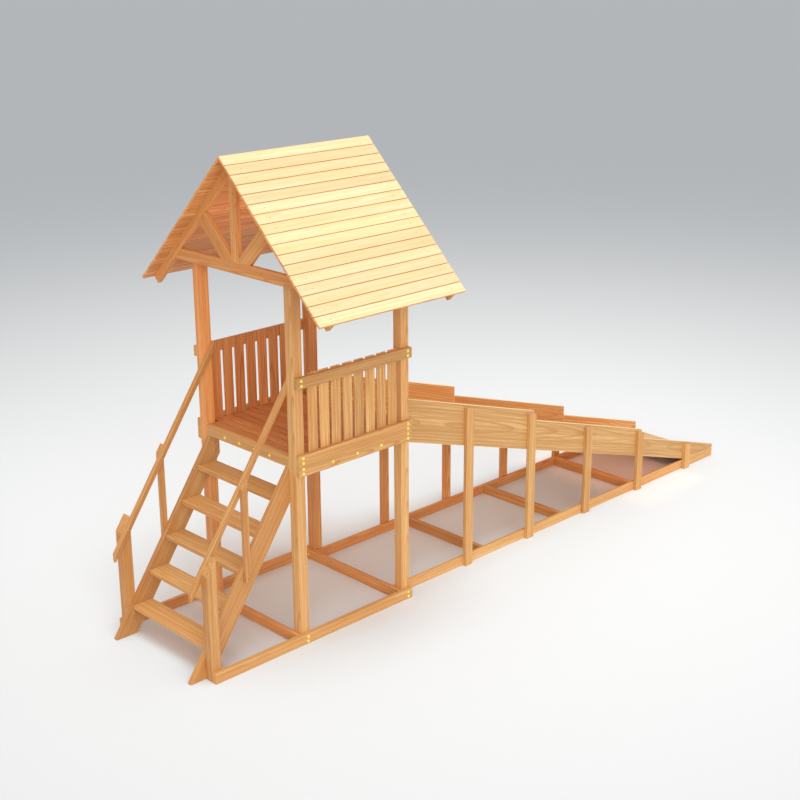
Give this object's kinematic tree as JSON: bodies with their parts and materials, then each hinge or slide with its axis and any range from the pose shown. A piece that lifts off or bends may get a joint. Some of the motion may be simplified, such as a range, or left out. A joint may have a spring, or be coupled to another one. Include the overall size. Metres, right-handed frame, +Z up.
{
  "type": "wooden play tower with slide",
  "caption": "Timber play tower with a gable roof, a stair with handrails, a slatted platform and a long straight wooden slide on a ground frame.",
  "frame": {"origin": "centre of the footprint's bounding box, on the ground", "axes": "+X along the slide from the stair to the slide's lower end, +Y across the tower to its far side, +Z up"},
  "size_m": [7.135, 2.2594, 3.959],
  "materials": {
    "coach_screw_zinc": "yellow passivated zinc, satin",
    "ground_frame_timber": "planed, oiled",
    "platform_timber": "planed, oiled",
    "post_timber": "planed, oiled",
    "roof_board_timber": "planed, clear oiled, pale yellow",
    "slat_timber": "planed, oiled",
    "slide_floor_timber": "planed and sanded, oiled",
    "slide_wall_timber": "planed and sanded, oiled",
    "stair_timber": "planed, oiled",
    "truss_timber": "planed, oiled, warm tan",
    "wood_screw_zinc": "yellow passivated zinc, satin"
  },
  "bodies": {
    "root": {"balusters": "stair_timber", "ground_coach_screws": "coach_screw_zinc", "handrail_far": "stair_timber", "handrail_near": "stair_timber", "king_posts": "truss_timber", "newel_posts": "stair_timber", "panel_bottom_rail_far": "platform_timber", "panel_bottom_rail_near": "platform_timber", "panel_coach_screws": "coach_screw_zinc", "panel_screws": "wood_screw_zinc", "panel_slats_far": "slat_timber", "panel_slats_near": "slat_timber", "panel_top_rail_far": "platform_timber", "panel_top_rail_near": "platform_timber", "platform_back_beam": "platform_timber", "platform_boards": "platform_timber", "platform_front_beam": "platform_timber", "platform_joists": "platform_timber", "platform_ledgers": "platform_timber", "platform_screws": "wood_screw_zinc", "platform_side_rail_far": "platform_timber", "platform_side_rail_near": "platform_timber", "post_far_slide": "post_timber", "post_far_stair": "post_timber", "post_near_slide": "post_timber", "post_near_stair": "post_timber", "rafters_back": "truss_timber", "rafters_front": "truss_timber", "roof_boards_far": "roof_board_timber", "roof_boards_near": "roof_board_timber", "roof_screws": "wood_screw_zinc", "slide_bearers": "slide_floor_timber", "slide_coach_screws": "coach_screw_zinc", "slide_cross_beams": "ground_frame_timber", "slide_floor_boards": "slide_floor_timber", "slide_floor_screws": "wood_screw_zinc", "slide_ground_rail_far": "ground_frame_timber", "slide_ground_rail_near": "ground_frame_timber", "slide_posts_far": "ground_frame_timber", "slide_posts_near": "ground_frame_timber", "slide_screws": "wood_screw_zinc", "slide_wall_lower_far": "slide_wall_timber", "slide_wall_lower_near": "slide_wall_timber", "slide_wall_middle_far": "slide_wall_timber", "slide_wall_middle_near": "slide_wall_timber", "slide_wall_upper_far": "slide_wall_timber", "slide_wall_upper_near": "slide_wall_timber", "stair_coach_screws": "coach_screw_zinc", "stair_screws": "wood_screw_zinc", "stair_stringer_far": "stair_timber", "stair_stringer_near": "stair_timber", "stair_treads": "stair_timber", "tie_beam_back": "truss_timber", "tie_beam_front": "truss_timber", "tower_cross_beams": "ground_frame_timber", "tower_ground_rail_far": "ground_frame_timber", "tower_ground_rail_near": "ground_frame_timber", "truss_braces_back": "truss_timber", "truss_braces_front": "truss_timber", "truss_coach_screws": "coach_screw_zinc"}
  },
  "joints": []
}
